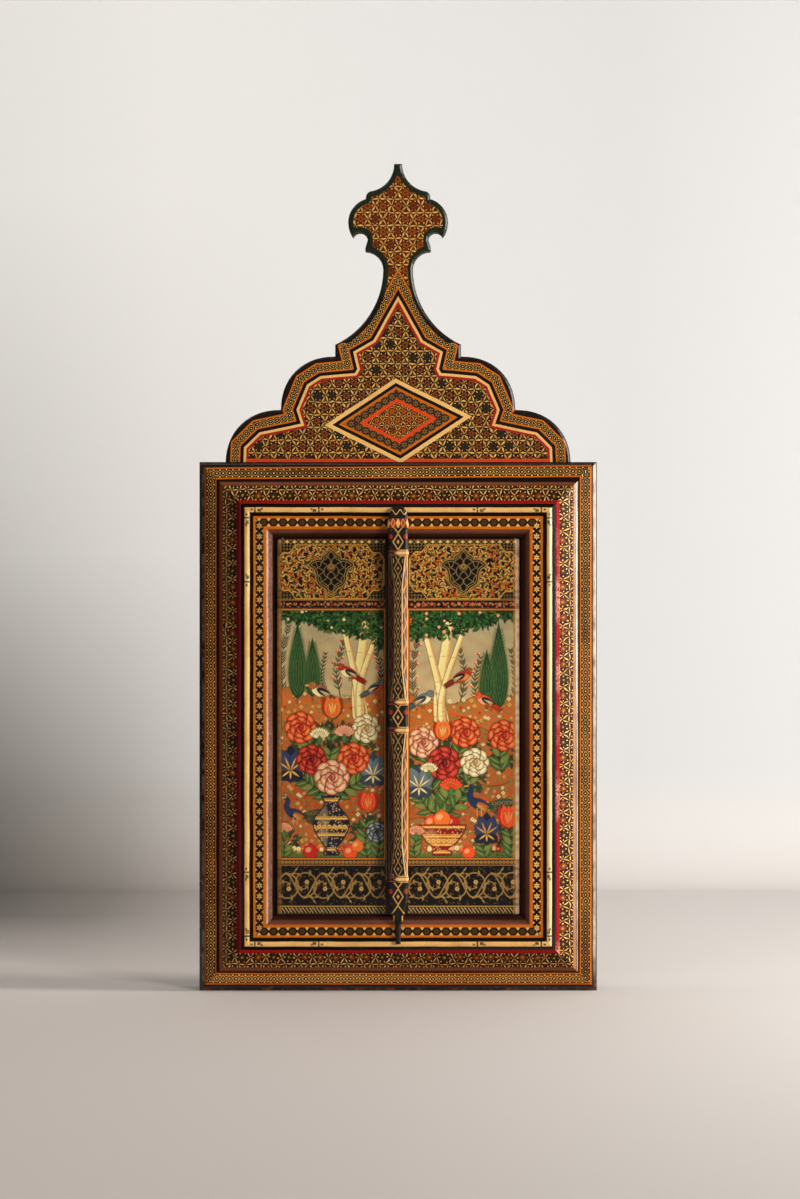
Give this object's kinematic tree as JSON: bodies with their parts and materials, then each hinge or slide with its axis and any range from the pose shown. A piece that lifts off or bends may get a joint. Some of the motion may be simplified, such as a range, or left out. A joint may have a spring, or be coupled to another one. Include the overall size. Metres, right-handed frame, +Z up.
{
  "type": "mirror case",
  "caption": "Lacquered wooden mirror case with a moulded front, paired leaves on hidden pivots over a mirror, a carved meeting batten and a cusped crest with finial.",
  "frame": {"origin": "middle of the flat underside of the base board", "axes": "+Z up, the painted front faces -Y, +X to the right as seen from the front"},
  "size_m": [0.2, 0.0411, 0.4164],
  "materials": {
    "lacquered_wood": "dark painted ground with fine painted ornament under an aged gloss varnish",
    "ivory_paint": "ivory-coloured paint with small black ticks under varnish",
    "red_lacquer": "plain red-brown lacquer",
    "mirror": "silvered glass, slightly aged",
    "card": "plain brown card",
    "bare_wood": "planed, unfinished",
    "iron": "dull drawn wire"
  },
  "bodies": {
    "case": {"base_board": "lacquered_wood", "right_board": "lacquered_wood", "top_board": "lacquered_wood", "left_board": "lacquered_wood", "bottom_rail": "lacquered_wood", "right_rail": "lacquered_wood", "top_rail": "lacquered_wood", "left_rail": "lacquered_wood", "bottom_bead": "ivory_paint", "right_bead": "ivory_paint", "top_bead": "ivory_paint", "left_bead": "ivory_paint", "bottom_slip": "red_lacquer", "right_slip": "red_lacquer", "top_slip": "red_lacquer", "left_slip": "red_lacquer", "mirror_glass": "mirror", "backing_card": "card", "back_board": "bare_wood", "back_brads": "iron", "crest_board": "lacquered_wood", "crest_dowels": "bare_wood"},
    "left_leaf": {"left_leaf": "lacquered_wood", "left_top_pin": "iron", "left_foot_pin": "iron"},
    "right_leaf": {"right_leaf": "lacquered_wood", "right_top_pin": "iron", "right_foot_pin": "iron", "meeting_batten": "lacquered_wood", "batten_pegs": "bare_wood"}
  },
  "joints": [
    {"name": "right_leaf_hinge", "type": "hinge", "parent": "case", "child": "right_leaf", "pos_m": [0.0583, -0.013, 0.133], "axis": [0, 0, 1], "range_deg": [0, 100]},
    {"name": "left_leaf_hinge", "type": "hinge", "parent": "case", "child": "left_leaf", "pos_m": [-0.0583, -0.013, 0.133], "axis": [0, 0, -1], "range_deg": [0, 100]}
  ]
}
